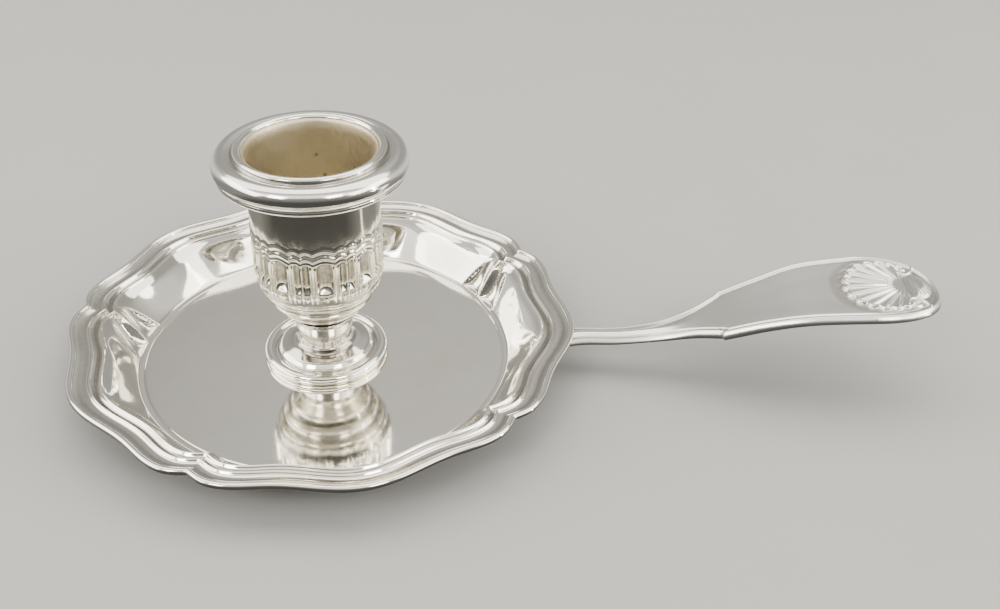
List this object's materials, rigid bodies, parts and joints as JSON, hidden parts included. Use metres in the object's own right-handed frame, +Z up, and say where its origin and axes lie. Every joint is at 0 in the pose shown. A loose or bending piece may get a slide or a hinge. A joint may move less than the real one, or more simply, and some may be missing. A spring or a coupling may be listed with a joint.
{
  "type": "chamber candlestick",
  "caption": "Silver chamberstick: a lobed dish carrying a short fluted candle cup with a lift-out drip ring, and a flat side handle to carry it by.",
  "frame": {"origin": "on the candle's axis, on the dish's flat underside", "axes": "+Z up along the candle, +X along the handle away from the dish"},
  "size_m": [0.1854, 0.1072, 0.0518],
  "materials": {
    "polished_silver": "mirror-polished silver plate with fine hairline scratches",
    "chased_silver": "polished silver plate, darker in the chased recesses",
    "satin_silver": "soft-polished silver plate, worn satin",
    "gilt_lining": "thin satin gilding with small dark pits",
    "bare_brass": "turned brass"
  },
  "bodies": {
    "base": {"dish": "polished_silver", "border_wire": "polished_silver", "foot": "polished_silver", "foot_collar": "polished_silver", "cup_stem": "polished_silver", "neck_stud": "bare_brass", "cup": "chased_silver", "candle_seat": "gilt_lining", "handle": "satin_silver", "handle_shoe": "satin_silver"},
    "drip_ring": {"drip_ring": "polished_silver", "drip_ring_sleeve": "gilt_lining"}
  },
  "joints": [
    {"name": "drip_ring_lift", "type": "slide", "parent": "base", "child": "drip_ring", "axis": [0, 0, 1], "range_m": [0, 0.035]}
  ]
}
